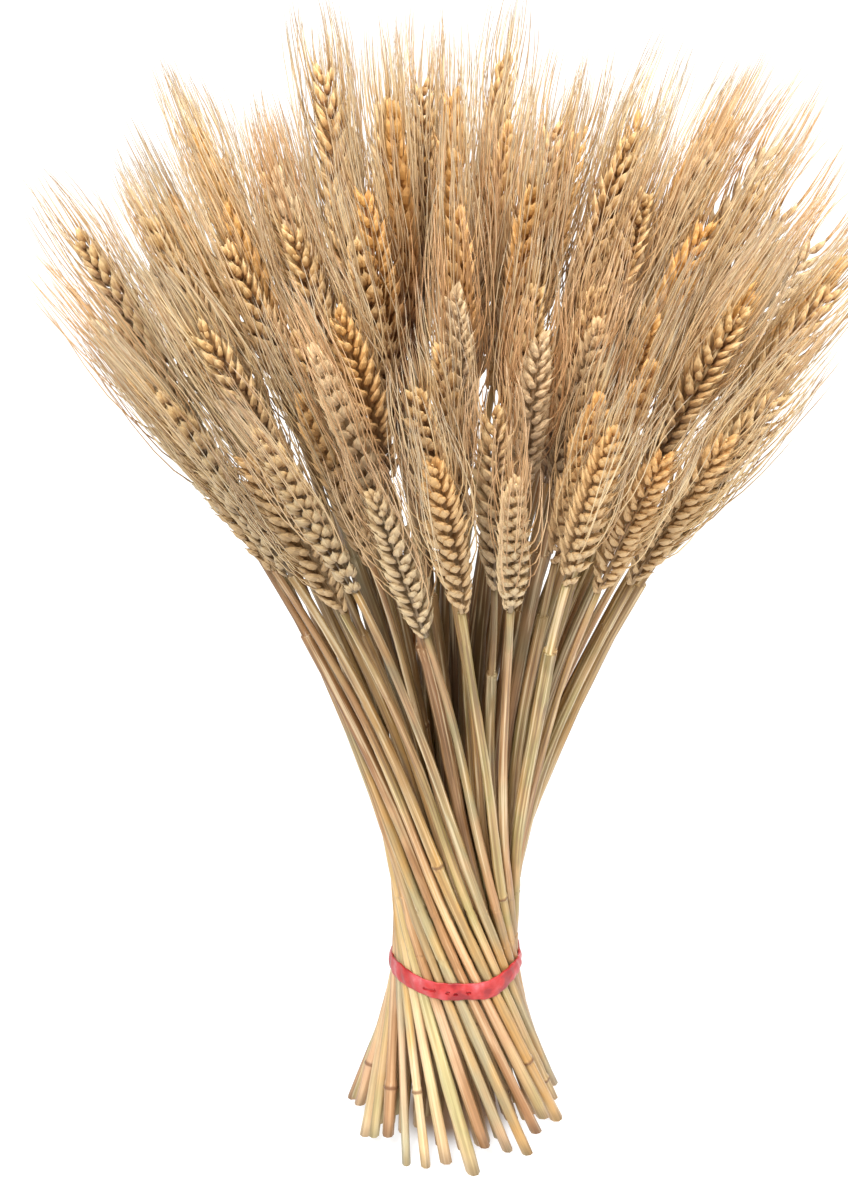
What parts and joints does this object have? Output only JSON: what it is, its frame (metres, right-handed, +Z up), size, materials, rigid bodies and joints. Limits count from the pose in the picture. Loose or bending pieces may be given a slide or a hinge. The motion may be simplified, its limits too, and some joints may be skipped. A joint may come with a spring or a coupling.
{
  "type": "bundle of dried wheat",
  "caption": "Upright bundle of dried bearded wheat, twisted at a rubber band near its cut ends so that it stands on them and opens into a round head of ears.",
  "frame": {"origin": "centre of the bounding box, on the surface that the cut ends of the stalks stand on", "axes": "+Z up along the bundle; -Y is the side that the picture shows"},
  "size_m": [0.2814, 0.2904, 0.4102],
  "materials": {
    "straw": "matt dried straw, pale at the stems and golden at the ears",
    "band": "semi-gloss red natural rubber"
  },
  "bodies": {
    "root": {"outer_stalk_01": "straw", "outer_stalk_02": "straw", "outer_stalk_03": "straw", "outer_stalk_04": "straw", "outer_stalk_05": "straw", "outer_stalk_06": "straw", "outer_stalk_07": "straw", "outer_stalk_08": "straw", "outer_stalk_09": "straw", "outer_stalk_10": "straw", "outer_stalk_11": "straw", "outer_stalk_12": "straw", "outer_stalk_13": "straw", "outer_stalk_14": "straw", "outer_stalk_15": "straw", "outer_stalk_16": "straw", "outer_stalk_17": "straw", "outer_stalk_18": "straw", "outer_stalk_19": "straw", "outer_stalk_20": "straw", "outer_stalk_21": "straw", "outer_stalk_22": "straw", "outer_stalk_23": "straw", "outer_stalk_24": "straw", "outer_stalk_25": "straw", "outer_stalk_26": "straw", "outer_stalk_27": "straw", "outer_stalk_28": "straw", "outer_stalk_29": "straw", "outer_stalk_30": "straw", "inner_stalk_01": "straw", "inner_stalk_02": "straw", "inner_stalk_03": "straw", "inner_stalk_04": "straw", "inner_stalk_05": "straw", "inner_stalk_06": "straw", "inner_stalk_07": "straw", "inner_stalk_08": "straw", "inner_stalk_09": "straw", "inner_stalk_10": "straw", "inner_stalk_11": "straw", "inner_stalk_12": "straw", "inner_stalk_13": "straw", "inner_stalk_14": "straw", "inner_stalk_15": "straw", "inner_stalk_16": "straw", "inner_stalk_17": "straw", "inner_stalk_18": "straw", "inner_stalk_19": "straw", "inner_stalk_20": "straw", "inner_stalk_21": "straw", "inner_stalk_22": "straw", "inner_stalk_23": "straw", "inner_stalk_24": "straw", "core_stalks_heart": "straw", "core_stalks_a": "straw", "core_stalks_b": "straw", "core_stalks_c": "straw", "band": "band"}
  },
  "joints": []
}
